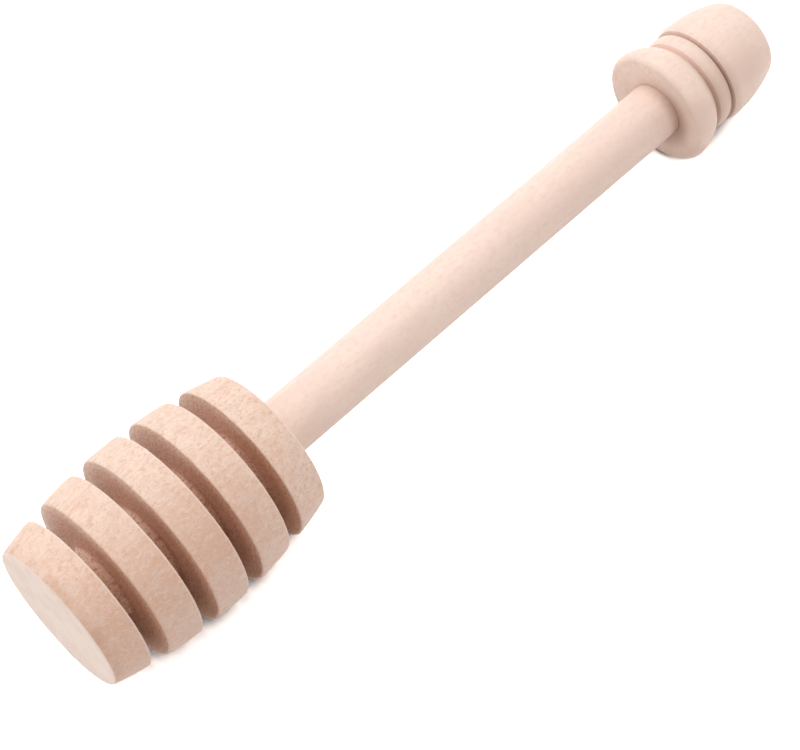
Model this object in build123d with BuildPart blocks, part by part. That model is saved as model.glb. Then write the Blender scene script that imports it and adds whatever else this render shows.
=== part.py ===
from build123d import *
import math
import os

# Honey dipper in bare wood: a turned head with grooves, a plain dowel handle and a turned end knob.
# All lengths are in millimetres. The dipper lies on its side with +Z up. Its axis runs along +X,
# from the flat front face of the head to the rounded end of the knob, and the origin is below
# the middle of its length, level with the lowest point of the head.

# Whole dipper
overall_length = 151.5

# Head: discs of equal width on one core, inside a barrel outline
disc_count = 5
disc_width = 6.05
groove_width = 2.95
head_diameter = 30.6
head_end_diameter = 25.0
disc_edge_rounding = 0.3
groove_corner_rounding = 0.6
core_wall = 1.15

# Handle: a straight dowel, glued into a drilled socket at each end
handle_diameter = 9.7
handle_end_chamfer = 0.5
head_socket_depth = 12.0
knob_socket_depth = 11.0
drill_point_angle = 118.0

# Glued joints: the room that the glue fills round the dowel and behind its ends
glue_line = 0.05
socket_end_gap = 0.3

# Knob collar: a bead with a dished front, deepest where it meets the handle
collar_width = 6.2
collar_diameter = 20.7
collar_rim_diameter = 19.2
collar_dish_depth = 0.3
collar_crown_share = 0.175

# Knob neck: a low band between two narrow turned creases
neck_width = 3.3
neck_diameter = 17.6
neck_edge_diameter = 17.1
neck_wall_slant = 0.35
collar_crease_diameter = 15.6
cap_crease_diameter = 15.0

# Knob cap: a tapering drum with a rounded, slightly domed end
cap_length = 12.65
cap_diameter = 18.5
cap_front_diameter = 17.9
cap_front_bevel = 0.22
cap_end_diameter = 14.2
cap_crown_share = 0.13
cap_corner_rounding = 2.5
cap_dome_height = 0.9

# Cuts run this far past the faces that they open
cut_overrun = 1.0

# Values worked out from the sizes above
handle_radius = handle_diameter / 2
socket_radius = handle_radius + glue_line
core_radius = socket_radius + core_wall
head_radius = head_diameter / 2
head_end_radius = head_end_diameter / 2
groove_middle_radius = (core_radius + head_end_radius) / 2
groove_pitch = disc_width + groove_width
head_length = disc_count * groove_pitch - groove_width
knob_length = collar_width + neck_width + cap_length
knob_front = overall_length - knob_length
handle_front = head_length - head_socket_depth + socket_end_gap
handle_rear = knob_front + knob_socket_depth - socket_end_gap


def point_on_axis(distance):
    """Point on the dipper's axis, this far behind the front face of the head."""
    return (distance - overall_length / 2, 0, head_radius)


def profile_plane(distance):
    """Plane through the axis for turned outlines: x runs along the dipper and y is the radius."""
    return Plane(origin=point_on_axis(distance), x_dir=(1, 0, 0), z_dir=(0, -1, 0))


def cross_plane(distance):
    """Plane square to the axis for round sections."""
    return Plane(origin=point_on_axis(distance), x_dir=(0, 1, 0), z_dir=(1, 0, 0))


dipper_axis = Axis(point_on_axis(0), (1, 0, 0))
drill_point_depth = socket_radius / math.tan(math.radians(drill_point_angle / 2))

# Head: a turned barrel, flat at both ends, with grooves down to the core that leave the discs standing
with BuildPart() as dipper_head:
    with BuildSketch(profile_plane(0)) as head_outline:
        with BuildLine():
            Line((0, 0), (0, head_end_radius))
            ThreePointArc((0, head_end_radius), (head_length / 2, head_radius), (head_length, head_end_radius))
            Polyline((head_length, head_end_radius), (head_length, 0), (0, 0))
        make_face()
        for groove in range(1, disc_count):
            with Locations((groove * groove_pitch - groove_width, core_radius)):
                Rectangle(groove_width, head_radius, align=Align.MIN, mode=Mode.SUBTRACT)
        # Rounded corners at the bottom of the grooves, as the turning tool leaves them
        groove_corners = head_outline.vertices().filter_by(lambda corner: 0 < corner.Y < groove_middle_radius)
        fillet(groove_corners, radius=groove_corner_rounding)
        # Sanded edges of the discs
        disc_corners = head_outline.vertices().filter_by(lambda corner: corner.Y > groove_middle_radius)
        fillet(disc_corners, radius=disc_edge_rounding)
    revolve(axis=dipper_axis)
    # Socket for the handle, drilled from the rear
    with BuildSketch(profile_plane(head_length - head_socket_depth)):
        Polygon(
            (-drill_point_depth, 0),
            (0, socket_radius),
            (head_socket_depth + cut_overrun, socket_radius),
            (head_socket_depth + cut_overrun, 0),
            align=None,
        )
    revolve(axis=dipper_axis, mode=Mode.SUBTRACT)
dipper_head.part.label = "dipper_head"

# Handle: a dowel with chamfered ends, which reach into both sockets
with BuildPart() as handle:
    with BuildSketch(cross_plane(handle_front)):
        Circle(handle_radius)
    extrude(amount=handle_rear - handle_front)
    chamfer(handle.edges().filter_by(GeomType.CIRCLE), length=handle_end_chamfer)
handle.part.label = "handle"

# Knob: collar, neck and cap turned in one piece
collar_mouth = (collar_dish_depth, socket_radius)
collar_rim = (0, collar_rim_diameter / 2)
collar_crown = (collar_width * collar_crown_share, collar_diameter / 2)
collar_crease = (collar_width, collar_crease_diameter / 2)
neck_front = (collar_width + neck_wall_slant, neck_edge_diameter / 2)
neck_crown = (collar_width + neck_width / 2, neck_diameter / 2)
neck_rear = (collar_width + neck_width - neck_wall_slant, neck_edge_diameter / 2)
cap_crease = (collar_width + neck_width, cap_crease_diameter / 2)
cap_front = (collar_width + neck_width + cap_front_bevel, cap_front_diameter / 2)
cap_crown = (collar_width + neck_width + cap_length * cap_crown_share, cap_diameter / 2)
cap_end = (knob_length - cap_dome_height, cap_end_diameter / 2)
towards_head = (-1, 0)
towards_end = (1, 0)
away_from_axis = (0, 1)
towards_axis = (0, -1)

with BuildPart() as end_knob:
    with BuildSketch(profile_plane(knob_front)) as knob_outline:
        with BuildLine():
            Line((collar_dish_depth, 0), collar_mouth)
            TangentArc(collar_rim, collar_mouth, tangent=towards_axis)
            TangentArc(collar_crown, collar_rim, tangent=towards_head)
            TangentArc(collar_crown, collar_crease, tangent=towards_end)
            Line(collar_crease, neck_front)
            ThreePointArc(neck_front, neck_crown, neck_rear)
            Line(neck_rear, cap_crease)
            Line(cap_crease, cap_front)
            TangentArc(cap_crown, cap_front, tangent=towards_head)
            TangentArc(cap_crown, cap_end, tangent=towards_end)
            TangentArc((knob_length, 0), cap_end, tangent=away_from_axis)
            Line((knob_length, 0), (collar_dish_depth, 0))
        make_face()
        # Rounded corner between the side of the cap and its domed end
        cap_corner = knob_outline.vertices().sort_by(Axis.X)[-2]
        fillet(cap_corner, radius=cap_corner_rounding)
    revolve(axis=dipper_axis)
    # Socket for the handle, drilled from the front
    with BuildSketch(profile_plane(knob_front)):
        Polygon(
            (-cut_overrun, 0),
            (-cut_overrun, socket_radius),
            (knob_socket_depth, socket_radius),
            (knob_socket_depth + drill_point_depth, 0),
            align=None,
        )
    revolve(axis=dipper_axis, mode=Mode.SUBTRACT)
end_knob.part.label = "end_knob"

os.makedirs("parts", exist_ok=True)
export_step(dipper_head.part, "parts/dipper_head.step")
export_step(handle.part, "parts/handle.step")
export_step(end_knob.part, "parts/end_knob.step")
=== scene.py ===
"""Honey dipper in bare wood: a grooved head, a plain dowel handle and a turned end knob.

The dipper lies on its side. Its axis runs along +X, from the front face of the head to the knob.
"""

import math

import bmesh
import bpy
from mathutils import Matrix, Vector
from mathutils.geometry import intersect_sphere_sphere_2d


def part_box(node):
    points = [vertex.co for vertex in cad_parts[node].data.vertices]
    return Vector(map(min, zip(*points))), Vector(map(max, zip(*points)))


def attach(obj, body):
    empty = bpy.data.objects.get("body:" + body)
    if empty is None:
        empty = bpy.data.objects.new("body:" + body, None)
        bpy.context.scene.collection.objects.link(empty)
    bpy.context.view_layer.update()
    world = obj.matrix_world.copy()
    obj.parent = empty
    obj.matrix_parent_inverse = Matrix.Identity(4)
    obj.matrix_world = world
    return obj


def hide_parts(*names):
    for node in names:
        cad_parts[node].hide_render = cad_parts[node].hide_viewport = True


bl_info = {
    "name": "Turned Honey Dipper",
    "version": (1, 0, 0),
    "blender": (4, 5, 0),
    "location": "View3D > Sidebar > Dipper",
    "description": "Turns the head, handle and knob of a wooden honey dipper and lights it on white card",
    "category": "Add Mesh",
}

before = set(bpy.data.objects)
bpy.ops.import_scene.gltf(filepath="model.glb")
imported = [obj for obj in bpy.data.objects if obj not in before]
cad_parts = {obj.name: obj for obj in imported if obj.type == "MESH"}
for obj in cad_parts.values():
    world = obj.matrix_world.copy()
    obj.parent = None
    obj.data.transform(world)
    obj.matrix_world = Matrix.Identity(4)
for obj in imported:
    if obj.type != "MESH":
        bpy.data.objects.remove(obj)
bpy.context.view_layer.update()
head_low, head_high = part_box("dipper_head")
handle_low, handle_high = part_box("handle")
knob_low, knob_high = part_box("end_knob")

MM = 0.001
FULL_TURN = math.tau
AXIS_HEIGHT = (head_low.z + head_high.z) / 2
HEAD_LENGTH = head_high.x - head_low.x
HEAD_MIDDLE = (head_low.x + head_high.x) / 2
HEAD_RADIUS = (head_high.z - head_low.z) / 2
HANDLE_RADIUS = (handle_high.y - handle_low.y) / 2
KNOB_RADIUS = (knob_high.z - knob_low.z) / 2


def length(name, description, default):
    """A length that a user can change, in metres."""
    return bpy.props.FloatProperty(
        name=name, description=description, default=default, unit="LENGTH", precision=5
    )


def colour(name, description, default):
    """A colour that a user can change, written as an sRGB hex value."""
    return bpy.props.FloatVectorProperty(
        name=name, description=description, default=linear(default), subtype="COLOR", min=0, max=1
    )


def linear(hex_colour):
    """Linear red, green and blue of an sRGB hex value, by the curve of the sRGB standard."""
    steps = [int(hex_colour[place : place + 2], 16) / 255 for place in (1, 3, 5)]
    return tuple(step / 12.92 if step <= 0.04045 else ((step + 0.055) / 1.055) ** 2.4 for step in steps)


class HeadSizes(bpy.types.PropertyGroup):
    """Sizes of the grooved head."""

    disc_count: bpy.props.IntProperty(name="Discs", description="Discs on the head", default=5, min=2)
    groove_width: length("Groove Width", "Width of each groove", 2.95 * MM)
    end_diameter: length("End Diameter", "Width of the barrel at its two ends", 25.0 * MM)
    core_diameter: length("Core Diameter", "Width of the core at the bottom of the grooves", 12.1 * MM)
    groove_rounding: length("Groove Rounding", "Radius at the bottom corners of the grooves", 0.6 * MM)
    edge_rounding: length("Edge Rounding", "Sanded radius of the discs' edges", 0.3 * MM)
    edge_wear: length("Edge Wear", "How unevenly the discs' edges are sanded", 0.1 * MM)


class HandleSizes(bpy.types.PropertyGroup):
    """Sizes of the dowel and of the sockets that hold it."""

    end_chamfer: length("End Chamfer", "Chamfer at both ends of the dowel", 0.5 * MM)
    glue_line: length("Glue Line", "Room for glue round the dowel", 0.05 * MM)
    socket_end_gap: length("End Gap", "Room behind each end of the dowel", 0.3 * MM)
    drill_angle: bpy.props.FloatProperty(
        name="Drill Angle",
        description="Point angle of the sockets' drill",
        default=math.radians(118),
        unit="ROTATION",
    )


class KnobSizes(bpy.types.PropertyGroup):
    """Sizes of the end knob, from its front to its domed end."""

    collar_width: length("Collar Width", "Width of the collar", 6.2 * MM)
    collar_rim_diameter: length("Collar Rim", "Width of the rim round the collar's dished front", 19.2 * MM)
    collar_dish_depth: length("Collar Dish", "Depth of the dished front where it meets the handle", 0.3 * MM)
    neck_width: length("Neck Width", "Width of the low band between the creases", 3.3 * MM)
    neck_diameter: length("Neck Diameter", "Width across the low band", 17.6 * MM)
    neck_edge_diameter: length("Neck Edge", "Width at the two edges of the low band", 17.1 * MM)
    neck_wall_slant: length("Neck Slant", "How far the band's end walls lean in", 0.35 * MM)
    collar_crease_diameter: length("Collar Crease", "Width at the crease behind the collar", 15.6 * MM)
    cap_crease_diameter: length("Cap Crease", "Width at the crease before the cap", 15.0 * MM)
    cap_diameter: length("Cap Diameter", "Width of the cap at its widest", 18.5 * MM)
    cap_front_diameter: length("Cap Front", "Width of the cap behind its bevelled front edge", 17.9 * MM)
    cap_front_bevel: length("Cap Bevel", "Bevel at the front of the cap", 0.22 * MM)
    cap_end_diameter: length("Cap End", "Width of the cap at its end", 14.2 * MM)
    cap_corner_rounding: length("Cap Corner", "Radius of the cap's rear corner", 2.5 * MM)
    cap_dome_height: length("Cap Dome", "Height of the domed end", 0.9 * MM)
    collar_crown_share: bpy.props.FloatProperty(
        name="Collar Crown",
        description="Place of the collar's widest ring, as a share of its width",
        default=0.175,
    )
    cap_crown_share: bpy.props.FloatProperty(
        name="Cap Crown",
        description="Place of the cap's widest ring, as a share of its length",
        default=0.13,
    )


class WoodColours(bpy.types.PropertyGroup):
    """Tones of the two woods."""

    # Head Light and Head Dark also serve as the lit side and the painted shade side of the head, and Head
    # Bloom greys that shaded side's outer edge
    head_light: colour("Head Light", "Pale sapwood of the head", "#F2D8C8")
    head_dark: colour("Head Dark", "Darker wood on the other side of the head", "#DAB4A0")
    head_streak: colour("Head Streak", "Fine fibres and patches in the head's wood", "#D9AE93")
    head_fleck: colour("Head Fleck", "Short brown flecks in the head's wood", "#B98D70")
    # Head End Grain also paints the highlight along the discs' rear edges
    head_end: colour("Head End Grain", "Sanded end grain of the end faces", "#F6E0D2")
    head_bloom: colour("Head Bloom", "Greyer patches in the head's wood", "#DFC6BA")
    # Head Cut, Head Deep and Head Dusk paint the grooves' shade: pale on the lamp's side, darker away from it
    head_cut: colour("Head Cut", "Turned walls of the grooves near their mouths", "#F4D7C5")
    groove_shade: colour("Head Deep", "Walls and floors of the grooves on the darker side", "#D8AD92")
    groove_deepest_shade: colour("Head Dusk", "Darkest wood of the grooves, at the block's outer edge", "#9C7058")
    head_blush: colour("Head Blush", "Red-brown specks in the grooves", "#B27C62")
    dowel_light: colour("Dowel Light", "Pale tone of the handle and knob", "#F5DCCF")
    dowel_dark: colour("Dowel Dark", "Darker tone of the handle and knob", "#E8CBBD")
    dowel_fleck: colour("Dowel Fleck", "Faint flecks in the handle and knob", "#C8A594")
    dowel_cream: colour("Dowel Cream", "Creamier patches in the handle and knob", "#F4DBC9")
    # Painted shade colour for the side of the handle and knob away from the lamp
    shaded_side_tone: colour("Knob Heart", "Darker wood on one side of the knob", "#DDBBA6")
    # Painted shade colour for the knob's creases and the ring round the handle
    crease: colour("Crease", "Burnished creases of the knob, and the ring round the handle", "#A07A64")


class StudioSettings(bpy.types.PropertyGroup):
    """Camera, lamp and floor."""

    aim: bpy.props.FloatVectorProperty(
        name="Aim",
        description="Point that the camera looks at",
        default=(-11.52 * MM, -5.99 * MM, 15.3 * MM),
        unit="LENGTH",
    )
    distance: length("Distance", "From the camera to that point", 354.32 * MM)
    heading: bpy.props.FloatProperty(
        name="Heading",
        description="Direction of the view, from +X towards +Y",
        default=math.radians(45.38),
        unit="ROTATION",
    )
    drop: bpy.props.FloatProperty(
        name="Drop",
        description="How steeply the camera looks down",
        default=math.radians(61.0),
        unit="ROTATION",
    )
    lens: bpy.props.FloatProperty(name="Lens", description="Focal length in millimetres", default=103.26)
    sky: bpy.props.FloatProperty(
        name="Sky", description="Strength of the white room on the object", default=0.84
    )
    key: bpy.props.FloatProperty(name="Key", description="Strength of the soft lamp", default=1.1)
    key_spread: bpy.props.FloatProperty(
        name="Key Spread",
        description="Angle that the soft lamp fills",
        default=math.radians(40),
        unit="ROTATION",
    )
    key_from: bpy.props.FloatVectorProperty(
        name="Key From",
        description="Direction that the soft lamp shines from",
        default=(0.0, 0.6, 0.8),
        subtype="DIRECTION",
    )
    floor_size: length("Floor Size", "Side of the square floor", 4.0)
    floor_bounce: bpy.props.FloatProperty(
        name="Floor Bounce",
        description="Share of the light that the floor gives back to the dipper",
        default=0.53,
    )
    floor_gain: bpy.props.FloatProperty(
        name="Floor Gain",
        description="How much brighter than white card the camera sees the floor",
        default=2.2,
    )
    # Tone of the painted contact shadow on the floor
    floor_contact: bpy.props.FloatProperty(
        name="Floor Contact",
        description="Tone of the floor close in, where the dipper covers it most",
        default=0.5,
    )


class DipperSettings(bpy.types.PropertyGroup):
    """Everything that a user would change."""

    head: bpy.props.PointerProperty(type=HeadSizes)
    handle: bpy.props.PointerProperty(type=HandleSizes)
    knob: bpy.props.PointerProperty(type=KnobSizes)
    wood: bpy.props.PointerProperty(type=WoodColours)
    studio: bpy.props.PointerProperty(type=StudioSettings)


# Outlines for turning

# Facets round a turned piece and round the dowel, and facets across a rounded edge
LATHE_STEPS = 320
HANDLE_STEPS = 128
EDGE_SEGMENTS = 4
# Points closer than this are one point
MERGE_REACH = 0.002 * MM
TURNED_SMOOTH_ANGLE = math.radians(40)
DOWEL_SMOOTH_ANGLE = math.radians(30)


def bow_radius(half_width, rise):
    """Radius of an arc, from half its width and its rise."""
    return (half_width * half_width + rise * rise) / (2 * rise)


def crown_centre(crown, end):
    """Centre of the arc that runs along the axis at its crown and falls from there to its end."""
    return Vector((crown[0], crown[1] - bow_radius(end[0] - crown[0], crown[1] - end[1])))


def arc_about(centre, start, end, count):
    """Points on the short arc about this centre, both ends included."""
    first = math.atan2(start[1] - centre[1], start[0] - centre[0])
    last = math.atan2(end[1] - centre[1], end[0] - centre[0])
    sweep = (last - first + math.pi) % FULL_TURN - math.pi
    radius = math.dist(centre, start)
    angles = [first + sweep * step / count for step in range(count + 1)]
    return [(centre[0] + radius * math.cos(angle), centre[1] + radius * math.sin(angle)) for angle in angles]


def arc_through(start, middle, end, count):
    """Points on the arc through three points."""
    to_middle, to_end = Vector(middle) - Vector(start), Vector(end) - Vector(start)
    square_middle, square_end = to_middle.length_squared, to_end.length_squared
    offset = Vector(
        (
            to_end.y * square_middle - to_middle.y * square_end,
            to_middle.x * square_end - to_end.x * square_middle,
        )
    )
    return arc_about(Vector(start) + offset / (2 * to_middle.cross(to_end)), start, end, count)


def disc_pitch(sizes):
    """From the front of one disc to the front of the next."""
    return (HEAD_LENGTH + sizes.groove_width) / sizes.disc_count


def barrel_radius(place, sizes):
    """Radius of the head's barrel outline at this place along X."""
    bow = bow_radius(HEAD_LENGTH / 2, HEAD_RADIUS - sizes.end_diameter / 2)
    offset = place - HEAD_MIDDLE
    return HEAD_RADIUS - bow + math.sqrt(bow * bow - offset * offset)


def straight(start, end, count):
    """Points that divide a straight stretch of an outline evenly, both ends included."""
    return [
        (start[0] + (end[0] - start[0]) * step / count, start[1] + (end[1] - start[1]) * step / count)
        for step in range(count + 1)
    ]


def joined(*stretches):
    """One outline from stretches that meet end to end."""
    points = []
    for stretch in stretches:
        for point in stretch:
            if not points or math.dist(points[-1], point) > MERGE_REACH:
                points.append(point)
    return points


def turn_on_lathe(name, outline, steps):
    """Draws the outline by extruding one vertex, and spins it round the dipper's axis into a closed piece.

    Each point of the outline is (place along X, radius), and the first and last lie on the axis.
    """
    bpy.ops.object.select_all(action="DESELECT")
    bpy.ops.mesh.primitive_plane_add(size=MM, location=(0, 0, 0))
    piece = bpy.context.object
    piece.name = name
    piece.data.name = name
    bpy.ops.object.mode_set(mode="EDIT")
    bpy.ops.mesh.select_all(action="SELECT")
    bpy.ops.mesh.merge(type="CENTER")
    start = outline[0]
    bpy.ops.transform.translate(value=(start[0], 0, AXIS_HEIGHT + start[1]))
    for here, there in zip(outline, outline[1:]):
        step = (there[0] - here[0], 0, there[1] - here[1])
        bpy.ops.mesh.extrude_region_move(TRANSFORM_OT_translate={"value": step})
    bpy.ops.mesh.select_all(action="SELECT")
    bpy.ops.mesh.spin(steps=steps, angle=FULL_TURN, center=(0, 0, AXIS_HEIGHT), axis=(1, 0, 0))
    bpy.ops.mesh.select_all(action="SELECT")
    bpy.ops.mesh.remove_doubles(threshold=MERGE_REACH)
    bpy.ops.mesh.normals_make_consistent(inside=False)
    return piece


def radius_of(point):
    """Distance of a point from the dipper's axis."""
    return math.hypot(point.y, point.z - AXIS_HEIGHT)


def select_rings(piece, corners, reach):
    """In edit mode, selects only the rings of edges at these (place along X, radius) corners."""
    bpy.ops.mesh.select_all(action="DESELECT")
    mesh = bmesh.from_edit_mesh(piece.data)
    for edge in mesh.edges:
        places = [(vertex.co.x, radius_of(vertex.co)) for vertex in edge.verts]
        edge.select = any(all(math.dist(place, corner) < reach for place in places) for corner in corners)
    mesh.select_flush_mode()
    bmesh.update_edit_mesh(piece.data)


def round_rings(piece, corners, rounding, segments):
    """In edit mode, rounds the rings at these corners with a bevel."""
    select_rings(piece, corners, rounding / 4)
    bpy.ops.mesh.bevel(offset=rounding, offset_type="OFFSET", segments=segments, profile=0.5, affect="EDGES")


def finish_mesh(piece, smooth_angle):
    """Leaves edit mode with faces outwards and smooth shading, except over sharp corners."""
    bpy.ops.mesh.select_all(action="SELECT")
    bpy.ops.mesh.normals_make_consistent(inside=False)
    bpy.ops.object.mode_set(mode="OBJECT")
    bpy.ops.object.shade_smooth_by_angle(angle=smooth_angle)


def wear_unevenly(piece, weight_at, depth, grain):
    """Presses the surface in a little where weight_at gives weight, as hand sanding does."""
    group = piece.vertex_groups.new(name="sanded")
    for vertex in piece.data.vertices:
        weight = weight_at(vertex.co)
        if weight > 0:
            group.add([vertex.index], weight, "REPLACE")
    clouds = bpy.data.textures.new(piece.name + "_sanding", "CLOUDS")
    clouds.noise_scale = grain
    clouds.noise_depth = 2
    wear = piece.modifiers.new("sanding", "DISPLACE")
    wear.texture = clouds
    wear.texture_coords = "LOCAL"
    wear.vertex_group = group.name
    wear.strength = depth
    wear.mid_level = 1.0
    bpy.ops.object.modifier_apply(modifier=wear.name)
    piece.vertex_groups.clear()


def place_on_body(piece, node, wood):
    """Gives a finished piece its wood and its place in the frame."""
    piece.data.materials.clear()
    piece.data.materials.append(wood)
    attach(piece, "root")
    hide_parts(node)


# Woods

WOOD_IOR = 1.45
# Direction away from the lamp, towards which shade is painted into the woods
SHADED_SIDE = (0.0, -0.97, -0.24)
# Growth rings, in millimetres: the distance between two, and the shift from the axis to the pith
RING_GAP = 1.5
RING_PITH = (0.0, 21.0, -17.0)
# Wander of the grain, in millimetres: the size of its waves, and how far they reach
WANDER_SIZE = 3.0
WANDER_REACH = (0.0, 1.6, 1.6)


def add_node(tree, kind, inputs=None, **settings):
    """Adds one node. An input is named by its label or number, and is a value or the socket that feeds it."""
    node = tree.nodes.new(kind)
    for setting, value in settings.items():
        setattr(node, setting, value)
    for place, value in (inputs or {}).items():
        if isinstance(value, bpy.types.NodeSocket):
            tree.links.new(value, node.inputs[place])
        else:
            node.inputs[place].default_value = value
    return node


def new_material(name):
    """An empty node material, its tree, and the object's coordinates in millimetres from the axis."""
    material = bpy.data.materials.new(name)
    material.use_nodes = True
    tree = material.node_tree
    tree.nodes.clear()
    place = add_node(tree, "ShaderNodeTexCoord")
    to_axis = (0, 0, -AXIS_HEIGHT / MM)
    to_mm = (1 / MM, 1 / MM, 1 / MM)
    in_mm = add_node(
        tree,
        "ShaderNodeMapping",
        {"Vector": place.outputs["Object"], "Location": to_axis, "Scale": to_mm},
    )
    return material, tree, in_mm.outputs["Vector"]


def stretched_noise(tree, vector, along_mm, across_mm, detail, seed, roughness=0.5):
    """Noise whose blots are this long along the grain and this wide across it."""
    scaled = add_node(
        tree,
        "ShaderNodeMapping",
        {
            "Vector": vector,
            "Location": (seed, seed * 0.37, -seed * 0.71),
            "Scale": (1 / along_mm, 1 / across_mm, 1 / across_mm),
        },
    )
    noise = add_node(
        tree,
        "ShaderNodeTexNoise",
        {"Vector": scaled.outputs["Vector"], "Scale": 1.0, "Detail": detail, "Roughness": roughness},
    )
    return noise.outputs["Fac"]


def share_where(tree, *ranges):
    """Share that a colour gets: the shares of all its ranges, multiplied.

    Each range is (value, low, high, share at low, share at high), and the shares are 0 and 1 if left out.
    """
    total = None
    for value, low, high, *shares in ranges:
        at_low, at_high = shares or (0.0, 1.0)
        limits = {"Value": value, "From Min": low, "From Max": high, "To Min": at_low, "To Max": at_high}
        share = add_node(tree, "ShaderNodeMapRange", limits, interpolation_type="SMOOTHSTEP").outputs[0]
        if total is not None:
            share = add_node(tree, "ShaderNodeMath", {0: total, 1: share}, operation="MULTIPLY").outputs[0]
        total = share
    return total


def lay_over(tree, tone, colour, *ranges):
    """Lays a colour over a tone, with the share that these ranges of patterns and places give it."""
    share = share_where(tree, *ranges)
    return add_node(tree, "ShaderNodeMix", {0: share, 6: tone, 7: colour}, data_type="RGBA").outputs[2]


def rgba(values):
    """A colour property as four numbers."""
    return (*values, 1.0)


def lathe_place(tree, place):
    """The place along the dipper and the distance from its axis, in millimetres."""
    along = add_node(tree, "ShaderNodeSeparateXYZ", {0: place}).outputs["X"]
    square_on = add_node(tree, "ShaderNodeVectorMath", {0: place, 1: (0.0, 1.0, 1.0)}, operation="MULTIPLY")
    radius = add_node(tree, "ShaderNodeVectorMath", {0: square_on.outputs[0]}, operation="LENGTH")
    return along, radius.outputs["Value"]


def towards_shaded_side(tree, place):
    """How far a place lies towards the side away from the lamp, where shade is painted, in millimetres from
    the dipper's axis.
    """
    side = add_node(tree, "ShaderNodeVectorMath", {0: place, 1: SHADED_SIDE}, operation="DOT_PRODUCT")
    return side.outputs["Value"]


def finish_wood(tree, tone, fibres, roughness, height, strength, relief):
    """Joins a wood's tone and relief to the output. Its roughness runs between two values with the fibres."""
    least, most = roughness
    limits = {"Value": fibres, "From Min": 0.2, "From Max": 0.8, "To Min": least, "To Max": most}
    rough = add_node(tree, "ShaderNodeMapRange", limits).outputs["Result"]
    bump = add_node(tree, "ShaderNodeBump", {"Strength": strength, "Distance": relief, "Height": height})
    shader = add_node(
        tree,
        "ShaderNodeBsdfPrincipled",
        {"Base Color": tone, "Roughness": rough, "IOR": WOOD_IOR, "Normal": bump.outputs["Normal"]},
    )
    add_node(tree, "ShaderNodeOutputMaterial", {"Surface": shader.outputs[0]})


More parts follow.
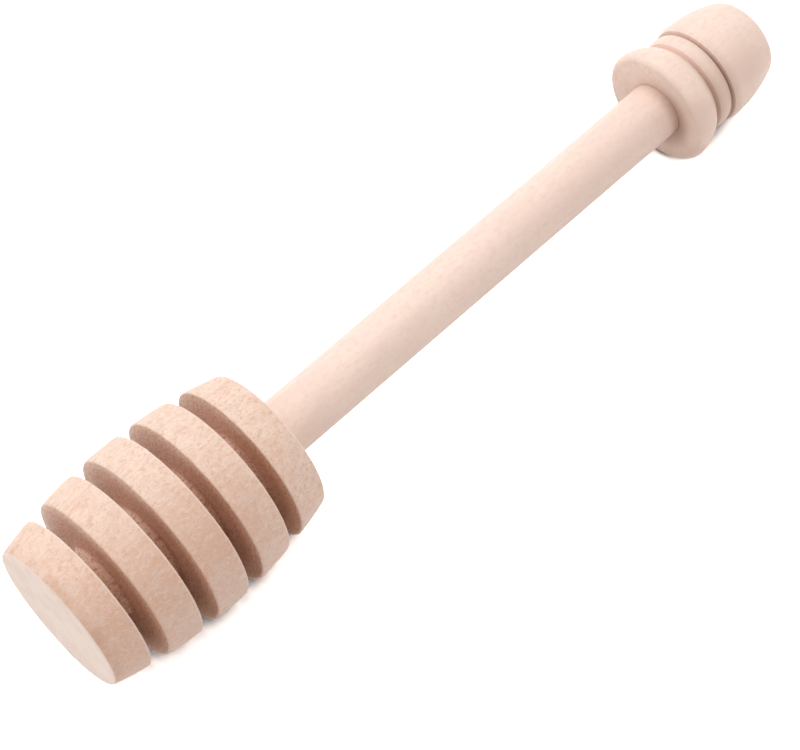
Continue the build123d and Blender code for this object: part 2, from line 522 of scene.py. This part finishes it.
def turned_beech(colours, sizes):
    """Beech, turned and sanded bare: pinkish tan and matt, with short brown flecks and slow tone patches.

    The fibres run along the dipper, so the front face and the groove walls show end grain.
    """
    material, tree, place = new_material("turned_beech")
    light, dark = rgba(colours.head_light), rgba(colours.head_dark)
    streak, fleck, bloom = rgba(colours.head_streak), rgba(colours.head_fleck), rgba(colours.head_bloom)
    cut, deep = rgba(colours.head_cut), rgba(colours.groove_shade)
    dusk, blush, end_grain = rgba(colours.groove_deepest_shade), rgba(colours.head_blush), rgba(colours.head_end)

    # The grain wanders a little, so that flecks and rings wave
    wander = add_node(tree, "ShaderNodeTexNoise", {"Vector": place, "Scale": 1 / WANDER_SIZE, "Detail": 1.0})
    drift = {0: wander.outputs["Color"], 1: (0.5, 0.5, 0.5)}
    drift = add_node(tree, "ShaderNodeVectorMath", drift, operation="SUBTRACT")
    drift = {0: drift.outputs[0], 1: WANDER_REACH}
    drift = add_node(tree, "ShaderNodeVectorMath", drift, operation="MULTIPLY").outputs[0]
    grain = add_node(tree, "ShaderNodeVectorMath", {0: place, 1: drift}, operation="ADD").outputs[0]

    # Painted shade: the wood goes from pale on the lamp's side to darker away from it, and greyer at that
    # side's outer edge
    across = towards_shaded_side(tree, grain)
    tone = lay_over(tree, light, dark, (across, -9.5, 9.0))
    tone = lay_over(tree, tone, bloom, (across, 9.5, 15.0, 0.0, 0.75))
    # The wood is a little browner at the front and paler at the rear
    along, radius = lathe_place(tree, place)
    front, middle, rear = head_low.x / MM, HEAD_MIDDLE / MM, head_high.x / MM
    tone = lay_over(tree, tone, streak, (along, front, middle, 0.15, 0.0))
    tone = lay_over(tree, tone, light, (along, middle, rear, 0.0, 0.75))
    patches = stretched_noise(tree, grain, 5.0, 2.6, detail=2.0, seed=3.1)
    tone = lay_over(tree, tone, streak, (patches, 0.45, 0.72, 0.0, 0.35))
    # Mottles under a millimetre wide, where the fibres rise and fall
    mottle = stretched_noise(tree, place, 0.8, 0.6, detail=3.0, seed=55.5, roughness=0.6)
    tone = lay_over(tree, tone, streak, (mottle, 0.5, 0.7, 0.0, 0.8))
    tone = lay_over(tree, tone, light, (mottle, 0.5, 0.32, 0.0, 0.4))
    # Growth rings about a pith that lies outside the block
    from_pith = add_node(tree, "ShaderNodeMapping", {"Vector": grain, "Location": RING_PITH}).outputs[0]
    ring_scale = FULL_TURN / (20 * RING_GAP)
    rings = add_node(
        tree,
        "ShaderNodeTexWave",
        {"Vector": from_pith, "Scale": ring_scale, "Distortion": 1.2, "Detail": 2.0},
        wave_type="RINGS",
        rings_direction="X",
        wave_profile="SAW",
    )
    tone = lay_over(tree, tone, streak, (rings.outputs["Fac"], 0.6, 1.0, 0.0, 0.2))
    # Greyer patches, a few millimetres wide
    grey_patches = stretched_noise(tree, grain, 3.0, 2.0, detail=1.0, seed=33.3)
    tone = lay_over(tree, tone, bloom, (grey_patches, 0.5, 0.72, 0.0, 0.45))
    # Fibres: fine short streaks along the grain
    fibres = stretched_noise(tree, grain, 1.1, 0.26, detail=3.0, seed=7.7, roughness=0.65)
    tone = lay_over(tree, tone, streak, (fibres, 0.35, 0.75, 0.0, 0.35))
    # Ray flecks: short dashes
    rays = stretched_noise(tree, grain, 0.8, 0.24, detail=1.5, seed=12.4)
    tone = lay_over(tree, tone, fleck, (rays, 0.58, 0.8, 0.0, 0.38))
    # Pores: fine dark specks between pale ones
    pores = stretched_noise(tree, place, 0.24, 0.18, detail=1.0, seed=21.5)
    tone = lay_over(tree, tone, fleck, (pores, 0.54, 0.78, 0.0, 0.36))
    tone = lay_over(tree, tone, light, (pores, 0.46, 0.22, 0.0, 0.3))

    # Depth below the barrel outline, in millimetres
    bow = bow_radius(HEAD_LENGTH / 2, HEAD_RADIUS - sizes.end_diameter / 2) / MM
    fall = add_node(tree, "ShaderNodeMath", {0: along, 1: middle}, operation="SUBTRACT").outputs[0]
    fall = add_node(tree, "ShaderNodeMath", {0: fall, 1: 2.0}, operation="POWER").outputs[0]
    fall = add_node(tree, "ShaderNodeMath", {0: fall, 1: 2 * bow}, operation="DIVIDE").outputs[0]
    barrel = add_node(tree, "ShaderNodeMath", {0: HEAD_RADIUS / MM, 1: fall}, operation="SUBTRACT").outputs[0]
    depth = add_node(tree, "ShaderNodeMath", {0: barrel, 1: radius}, operation="SUBTRACT").outputs[0]

    # Painted shade in the grooves: their turned walls and floors are pale on the lamp's side and red-brown
    # away from it, darkest at that side's outer edge
    groove = lay_over(tree, cut, deep, (across, -6.5, 3.0))
    groove = lay_over(tree, groove, dusk, (across, 12.5, 15.0, 0.0, 0.6))
    # Painted light: the walls are a little paler deep down, above the floors
    groove = lay_over(tree, groove, cut, (depth, 4.0, 6.0, 0.0, 0.5), (depth, 7.3, 7.9, 1.0, 0.0))
    specks = stretched_noise(tree, place, 0.5, 0.5, detail=2.0, seed=44.6)
    groove = lay_over(tree, groove, blush, (specks, 0.48, 0.7, 0.0, 0.7))
    groove = lay_over(tree, groove, cut, (specks, 0.5, 0.3, 0.0, 0.4))
    groove = lay_over(tree, groove, blush, (pores, 0.5, 0.75, 0.0, 0.7))
    tone = lay_over(tree, tone, groove, (depth, 0.3, 0.6))
    # Sanded end grain of the two end faces, with faint clouds
    clouds = stretched_noise(tree, place, 3.5, 3.5, detail=1.0, seed=70.1)
    face = lay_over(tree, end_grain, bloom, (clouds, 0.35, 0.65, 0.0, 0.3))
    face = lay_over(tree, face, dark, (pores, 0.52, 0.78, 0.0, 0.25))
    tone = lay_over(tree, tone, face, (along, front + 0.08, front + 0.24, 1.0, 0.0))
    tone = lay_over(tree, tone, face, (along, rear - 0.24, rear - 0.08))

    # Painted highlight, over a little rubbed wear: the discs' rear edges are paler
    pitch = disc_pitch(sizes) / MM
    disc_width = pitch - sizes.groove_width / MM
    edge = add_node(tree, "ShaderNodeMath", {0: along, 1: front}, operation="SUBTRACT").outputs[0]
    edge = add_node(tree, "ShaderNodeMath", {0: edge, 1: pitch}, operation="MODULO").outputs[0]
    edge = add_node(tree, "ShaderNodeMath", {0: edge, 1: disc_width}, operation="SUBTRACT").outputs[0]
    edge = add_node(tree, "ShaderNodeMath", {0: edge}, operation="ABSOLUTE").outputs[0]
    tone = lay_over(tree, tone, end_grain, (edge, 0.15, 0.45, 0.6, 0.0), (depth, 0.25, 0.5, 1.0, 0.0))
    # The side is browner in places behind the rim of the front face
    tone = lay_over(
        tree,
        tone,
        fleck,
        (along, front + 0.5, front + 2.6, 0.35, 0.0),
        (along, front + 0.1, front + 0.35),
        (clouds, 0.35, 0.6, 0.2, 1.0),
        (depth, 0.3, 0.6, 1.0, 0.0),
    )

    ridges = add_node(tree, "ShaderNodeMath", {0: fibres, 1: 0.6}, operation="MULTIPLY").outputs[0]
    pits = add_node(tree, "ShaderNodeMath", {0: pores, 1: -0.5}, operation="MULTIPLY").outputs[0]
    height = add_node(tree, "ShaderNodeMath", {0: ridges, 1: pits}, operation="ADD").outputs[0]
    finish_wood(tree, tone, fibres, (0.58, 0.72), height, strength=0.6, relief=0.03 * MM)
    return material


def sanded_birch(colours, name, rings, shade_share):
    """Birch, moulded as a dowel or turned, and fine sanded: pinkish cream, matt, with faint flecks.

    Each of the rings is (place along X, radius, reach, strength): shade is painted darker round it.
    Shade share is how much shade is painted on the side away from the lamp, which faces -Y.
    """
    material, tree, place = new_material(name)
    dark = rgba(colours.dowel_dark)
    across = towards_shaded_side(tree, place)
    patches = stretched_noise(tree, place, 30.0, 4.0, detail=2.0, seed=5.3)
    tone = lay_over(tree, rgba(colours.dowel_light), dark, (patches, 0.35, 0.65, 0.0, 0.4))
    # Painted shade: darker on the side away from the lamp
    tone = lay_over(tree, tone, rgba(colours.shaded_side_tone), (across, -4.0, 6.0, 0.0, shade_share))
    cream = stretched_noise(tree, place, 9.0, 5.0, detail=1.0, seed=81.2)
    tone = lay_over(tree, tone, rgba(colours.dowel_cream), (cream, 0.45, 0.65, 0.0, 0.5))
    # Mottles a millimetre wide
    mottle = stretched_noise(tree, place, 1.3, 0.8, detail=2.0, seed=36.4, roughness=0.6)
    tone = lay_over(tree, tone, dark, (mottle, 0.45, 0.7, 0.0, 0.65))
    # Fibres: fine long streaks
    fibres = stretched_noise(tree, place, 10.0, 0.22, detail=3.0, seed=9.2, roughness=0.6)
    tone = lay_over(tree, tone, dark, (fibres, 0.4, 0.75, 0.0, 0.35))
    # Ray flecks, faint and short
    rays = stretched_noise(tree, place, 1.0, 0.3, detail=1.5, seed=15.8)
    tone = lay_over(tree, tone, rgba(colours.dowel_fleck), (rays, 0.62, 0.82, 0.0, 0.22))
    # Painted shade in the creases, deeper on the side away from the lamp
    along, radius = lathe_place(tree, place)
    section = add_node(tree, "ShaderNodeCombineXYZ", {"X": along, "Y": radius}).outputs[0]
    for ring_place, ring_radius, reach, strength in rings:
        ring = (ring_place / MM, ring_radius / MM, 0.0)
        away = add_node(tree, "ShaderNodeVectorMath", {0: section, 1: ring}, operation="DISTANCE")
        ring_shade = (away.outputs["Value"], 0.0, reach / MM, strength, 0.0)
        tone = lay_over(tree, tone, rgba(colours.crease), ring_shade, (across, -7.0, 5.0, 0.1, 1.0))
    height = add_node(tree, "ShaderNodeMath", {0: fibres, 1: 0.5}, operation="MULTIPLY").outputs[0]
    finish_wood(tree, tone, fibres, (0.5, 0.62), height, strength=0.4, relief=0.02 * MM)
    return material


# Pieces

class DIPPER_OT_head(bpy.types.Operator):
    """Turns the grooved head: discs on one core, with a socket for the handle"""

    bl_idname = "dipper.head"
    bl_label = "Turn Head"

    def execute(self, context):
        settings = context.scene.dipper
        sizes = settings.head
        core = sizes.core_diameter / 2
        bend = sizes.groove_rounding
        disc_width = disc_pitch(sizes) - sizes.groove_width
        starts = [head_low.x + disc_pitch(sizes) * disc for disc in range(sizes.disc_count)]
        socket = HANDLE_RADIUS + settings.handle.glue_line
        socket_front = handle_low.x - settings.handle.socket_end_gap
        point_depth = socket / math.tan(settings.handle.drill_angle / 2)

        outline = [(head_low.x, 0)]
        corners = []
        for number, start in enumerate(starts):
            end = start + disc_width
            wall_foot = core + bend
            if number:
                before = start - sizes.groove_width
                outline = joined(
                    outline,
                    arc_about((before + bend, wall_foot), (before, wall_foot), (before + bend, core), count=5),
                    arc_about((start - bend, wall_foot), (start - bend, core), (start, wall_foot), count=5),
                )
            if number == sizes.disc_count - 1:
                wall_foot = socket
            places = straight((start, 0), (end, 0), count=6)
            side = [(place, barrel_radius(place, sizes)) for place, _ in places]
            front_wall = straight(outline[-1], side[0], count=8)
            rear_wall = straight(side[-1], (end, wall_foot), count=8)
            outline = joined(outline, front_wall, side, rear_wall)
            corners += [side[0], side[-1]]
        socket_end = (socket_front, socket)
        socket_wall = straight(outline[-1], socket_end, count=4)
        outline = joined(outline, socket_wall, [(socket_front - point_depth, 0)])

        head = turn_on_lathe("grooved_head", outline, LATHE_STEPS)
        round_rings(head, corners, sizes.edge_rounding, EDGE_SEGMENTS)
        finish_mesh(head, TURNED_SMOOTH_ANGLE)

        def edge_weight(point):
            """Full at the discs' edges, none a millimetre away."""
            nearest = min(math.dist((point.x, radius_of(point)), corner) for corner in corners)
            return max(0.0, 1 - nearest / MM)

        wear_unevenly(head, edge_weight, sizes.edge_wear, grain=1.6 * MM)
        place_on_body(head, "dipper_head", turned_beech(settings.wood, sizes))
        return {"FINISHED"}


class DIPPER_OT_handle(bpy.types.Operator):
    """Makes the dowel handle with its chamfered ends"""

    bl_idname = "dipper.handle"
    bl_label = "Make Handle"

    def execute(self, context):
        settings = context.scene.dipper
        chamfer = settings.handle.end_chamfer
        front, rear = handle_low.x, handle_high.x
        outline = joined(
            straight((front, 0), (front, HANDLE_RADIUS - chamfer), count=2),
            straight((front + chamfer, HANDLE_RADIUS), (rear - chamfer, HANDLE_RADIUS), count=140),
            straight((rear, HANDLE_RADIUS - chamfer), (rear, 0), count=2),
        )
        handle = turn_on_lathe("dowel_handle", outline, HANDLE_STEPS)
        finish_mesh(handle, DOWEL_SMOOTH_ANGLE)
        # Painted shade in the ring where the handle meets the knob
        joint = knob_low.x + settings.knob.collar_dish_depth
        rings = [(joint, HANDLE_RADIUS, 2.4 * MM, 0.6)]
        wood = sanded_birch(settings.wood, "sanded_birch_dowel", rings, shade_share=0.25)
        place_on_body(handle, "handle", wood)
        return {"FINISHED"}


class DIPPER_OT_knob(bpy.types.Operator):
    """Turns the end knob: collar, neck and cap in one piece, with a socket for the handle"""

    bl_idname = "dipper.knob"
    bl_label = "Turn Knob"

    def execute(self, context):
        settings = context.scene.dipper
        sizes = settings.knob
        front = knob_low.x
        socket = HANDLE_RADIUS + settings.handle.glue_line
        socket_end = handle_high.x + settings.handle.socket_end_gap
        point_depth = socket / math.tan(settings.handle.drill_angle / 2)
        neck_front = front + sizes.collar_width
        neck_rear = neck_front + sizes.neck_width
        cap_length = knob_high.x - neck_rear

        mouth = (front + sizes.collar_dish_depth, socket)
        rim = (front, sizes.collar_rim_diameter / 2)
        dish_centre = (front + bow_radius(rim[1] - socket, sizes.collar_dish_depth), rim[1])
        crown = (front + sizes.collar_width * sizes.collar_crown_share, KNOB_RADIUS)
        collar_crease = (neck_front, sizes.collar_crease_diameter / 2)
        neck_edge = sizes.neck_edge_diameter / 2
        neck_start = (neck_front + sizes.neck_wall_slant, neck_edge)
        neck_crown = ((neck_front + neck_rear) / 2, sizes.neck_diameter / 2)
        neck_end = (neck_rear - sizes.neck_wall_slant, neck_edge)
        cap_crease = (neck_rear, sizes.cap_crease_diameter / 2)
        cap_front = (neck_rear + sizes.cap_front_bevel, sizes.cap_front_diameter / 2)
        cap_crown = (neck_rear + cap_length * sizes.cap_crown_share, sizes.cap_diameter / 2)
        cap_end = (knob_high.x - sizes.cap_dome_height, sizes.cap_end_diameter / 2)

        # The cap's rear corner is a small arc that touches the arcs of the side and of the dome from inside
        dome_top = (knob_high.x, 0)
        rounding = sizes.cap_corner_rounding
        side_centre = crown_centre(cap_crown, cap_end)
        dome_centre = Vector((knob_high.x - bow_radius(cap_end[1], sizes.cap_dome_height), 0))
        side_reach = math.dist(side_centre, cap_end) - rounding
        dome_reach = math.dist(dome_centre, cap_end) - rounding
        meetings = intersect_sphere_sphere_2d(side_centre, side_reach, dome_centre, dome_reach)
        corner_centre = max(meetings, key=lambda meeting: meeting.y)
        corner_start = corner_centre + (corner_centre - side_centre).normalized() * rounding
        corner_end = corner_centre + (corner_centre - dome_centre).normalized() * rounding

        outline = joined(
            [(socket_end + point_depth, 0)],
            straight((socket_end, socket), mouth, count=6),
            arc_about(dish_centre, mouth, rim, count=12),
            arc_about(crown_centre(crown, rim), rim, crown, count=10),
            arc_about(crown_centre(crown, collar_crease), crown, collar_crease, count=16),
            straight(collar_crease, neck_start, count=3),
            arc_through(neck_start, neck_crown, neck_end, count=12),
            straight(neck_end, cap_crease, count=3),
            straight(cap_crease, cap_front, count=3),
            arc_about(crown_centre(cap_crown, cap_front), cap_front, cap_crown, count=5),
            arc_about(side_centre, cap_crown, corner_start, count=16),
            arc_about(corner_centre, corner_start, corner_end, count=12),
            arc_about(dome_centre, corner_end, dome_top, count=8),
        )
        knob = turn_on_lathe("turned_knob", outline, LATHE_STEPS)
        finish_mesh(knob, TURNED_SMOOTH_ANGLE)
        # Painted shade in both creases, and round the mouth where the handle goes in
        rings = [
            (*collar_crease, 2.8 * MM, 0.45),
            (*cap_crease, 2.8 * MM, 0.6),
            (mouth[0], HANDLE_RADIUS, 3.6 * MM, 0.65),
        ]
        wood = sanded_birch(settings.wood, "turned_birch_knob", rings, shade_share=0.5)
        place_on_body(knob, "end_knob", wood)
        return {"FINISHED"}


class DIPPER_OT_studio(bpy.types.Operator):
    """Lays the white floor and sets up the camera, the soft lamp and the white room"""

    bl_idname = "dipper.studio"
    bl_label = "Set Up Studio"

    def execute(self, context):
        settings = context.scene.dipper
        studio = settings.studio
        lay_floor(settings)
        set_camera(context.scene, studio)
        set_lights(context.scene, studio)
        context.scene.view_settings.view_transform = "Standard"
        return {"FINISHED"}


# Studio

WHITE = (1.0, 1.0, 1.0, 1.0)
# Painted contact shadow: the floor is darkened only where the dipper covers it from closer than this
COVER_REACH = 8 * MM
# How open to the room the floor is where it is darkest and where it is white, at the head and at the knob
DARKEST_OPEN = (0.5, 0.33)
WHITE_OPEN = (0.61, 0.45)


def shown_rays(tree):
    """One for rays that show a surface, straight or in gloss or glass, and zero for rays that only light."""
    rays = add_node(tree, "ShaderNodeLightPath")
    shown = rays.outputs["Is Camera Ray"]
    for kind in ("Is Glossy Ray", "Is Transmission Ray"):
        either = {0: shown, 1: rays.outputs[kind]}
        shown = add_node(tree, "ShaderNodeMath", either, operation="MAXIMUM").outputs[0]
    return shown


def lay_floor(settings):
    """The floor touches the head's middle disc and the knob's collar, where the dipper really rests."""
    head = settings.head
    head_rest = HEAD_MIDDLE + (disc_pitch(head) - head.groove_width) / 2
    head_bottom = AXIS_HEIGHT - barrel_radius(head_rest, head)
    knob_rest = knob_low.x + settings.knob.collar_width * settings.knob.collar_crown_share
    knob_bottom = AXIS_HEIGHT - KNOB_RADIUS
    tilt = math.atan2(knob_bottom - head_bottom, knob_rest - head_rest)
    bpy.ops.object.select_all(action="DESELECT")
    bpy.ops.mesh.primitive_plane_add(size=settings.studio.floor_size, location=(0, 0, 0))
    floor = bpy.context.object
    floor.name = "floor"
    floor.rotation_euler = (0, -tilt, 0)
    floor.location = (head_rest, 0, head_bottom)
    floor.data.materials.append(matt_white_card(settings.studio))


def matt_white_card(studio):
    """White card, plain and matt.

    The camera sees it brighter than it lights the dipper, so that it is white wherever the dipper's shadow
    isn't deep, and darker only close in, where a contact shadow is also painted from ambient occlusion.
    """
    material = bpy.data.materials.new("matt_white_card")
    material.use_nodes = True
    tree = material.node_tree
    tree.nodes.clear()
    # The narrower knob stands closer to the floor than the head's discs, and covers it more
    place = add_node(tree, "ShaderNodeTexCoord").outputs["Object"]
    along = add_node(tree, "ShaderNodeSeparateXYZ", {0: place}).outputs["X"]
    knob_start = knob_low.x - head_high.x
    limits = {"To Min": studio.floor_contact, "To Max": studio.floor_gain}
    for limit, (at_head, at_knob) in (("From Min", DARKEST_OPEN), ("From Max", WHITE_OPEN)):
        run = {"Value": along, "From Min": 0.0, "From Max": knob_start, "To Min": at_head, "To Max": at_knob}
        limits[limit] = add_node(tree, "ShaderNodeMapRange", run).outputs["Result"]
    # Painted contact shadow: the tone the camera sees falls with ambient occlusion, over the real shadow
    contact_shade = add_node(tree, "ShaderNodeAmbientOcclusion", {"Distance": COVER_REACH}, samples=32)
    limits["Value"] = contact_shade.outputs["AO"]
    tone = add_node(tree, "ShaderNodeMapRange", limits, interpolation_type="SMOOTHSTEP").outputs["Result"]
    card = add_node(tree, "ShaderNodeBsdfDiffuse", {"Color": (*[studio.floor_bounce] * 3, 1.0)})
    shown = add_node(tree, "ShaderNodeBsdfDiffuse", {"Color": tone})
    sides = {0: shown_rays(tree), 1: card.outputs[0], 2: shown.outputs[0]}
    mix = add_node(tree, "ShaderNodeMixShader", sides)
    add_node(tree, "ShaderNodeOutputMaterial", {"Surface": mix.outputs[0]})
    return material


def set_camera(scene, studio):
    """The camera looks down on the dipper from beyond its front face."""
    forward = Vector(
        (
            math.cos(studio.drop) * math.cos(studio.heading),
            math.cos(studio.drop) * math.sin(studio.heading),
            -math.sin(studio.drop),
        )
    )
    data = bpy.data.cameras.new("camera")
    data.lens = studio.lens
    data.clip_start = 10 * MM
    camera = bpy.data.objects.new("camera", data)
    scene.collection.objects.link(camera)
    camera.location = Vector(studio.aim) - forward * studio.distance
    camera.rotation_euler = forward.to_track_quat("-Z", "Y").to_euler()
    scene.camera = camera


def set_lights(scene, studio):
    """One broad soft lamp from the upper left, in a white room."""
    data = bpy.data.lights.new("soft_key", "SUN")
    data.energy = studio.key
    data.angle = studio.key_spread
    lamp = bpy.data.objects.new("soft_key", data)
    scene.collection.objects.link(lamp)
    lamp.rotation_euler = Vector(studio.key_from).to_track_quat("Z", "Y").to_euler()
    world = bpy.data.worlds.new("white_room")
    world.use_nodes = True
    tree = world.node_tree
    tree.nodes.clear()
    room = add_node(tree, "ShaderNodeBackground", {"Color": WHITE, "Strength": studio.sky})
    shown = add_node(tree, "ShaderNodeBackground", {"Color": WHITE, "Strength": 1.0})
    sides = {0: shown_rays(tree), 1: room.outputs[0], 2: shown.outputs[0]}
    mix = add_node(tree, "ShaderNodeMixShader", sides)
    add_node(tree, "ShaderNodeOutputWorld", {"Surface": mix.outputs[0]})
    scene.world = world


class DIPPER_PT_panel(bpy.types.Panel):
    """Lists the steps and the sizes"""

    bl_idname = "DIPPER_PT_panel"
    bl_label = "Honey Dipper"
    bl_space_type = "VIEW_3D"
    bl_region_type = "UI"
    bl_category = "Dipper"

    def draw(self, context):
        settings = context.scene.dipper
        for operator in OPERATORS:
            self.layout.operator(operator.bl_idname)
        for group in (settings.head, settings.handle, settings.knob, settings.wood, settings.studio):
            box = self.layout.box()
            for name in group.__annotations__:
                box.prop(group, name)


OPERATORS = (DIPPER_OT_head, DIPPER_OT_handle, DIPPER_OT_knob, DIPPER_OT_studio)
GROUPS = (HeadSizes, HandleSizes, KnobSizes, WoodColours, StudioSettings, DipperSettings)
CLASSES = (*GROUPS, *OPERATORS, DIPPER_PT_panel)


def register():
    """Adds the operators, the panel and the settings."""
    for cls in CLASSES:
        bpy.utils.register_class(cls)
    bpy.types.Scene.dipper = bpy.props.PointerProperty(type=DipperSettings)


def unregister():
    """Takes them away again."""
    del bpy.types.Scene.dipper
    for cls in reversed(CLASSES):
        bpy.utils.unregister_class(cls)


def main():
    register()
    bpy.ops.dipper.head()
    bpy.ops.dipper.handle()
    bpy.ops.dipper.knob()
    bpy.ops.dipper.studio()


if __name__ == "__main__":
    main()
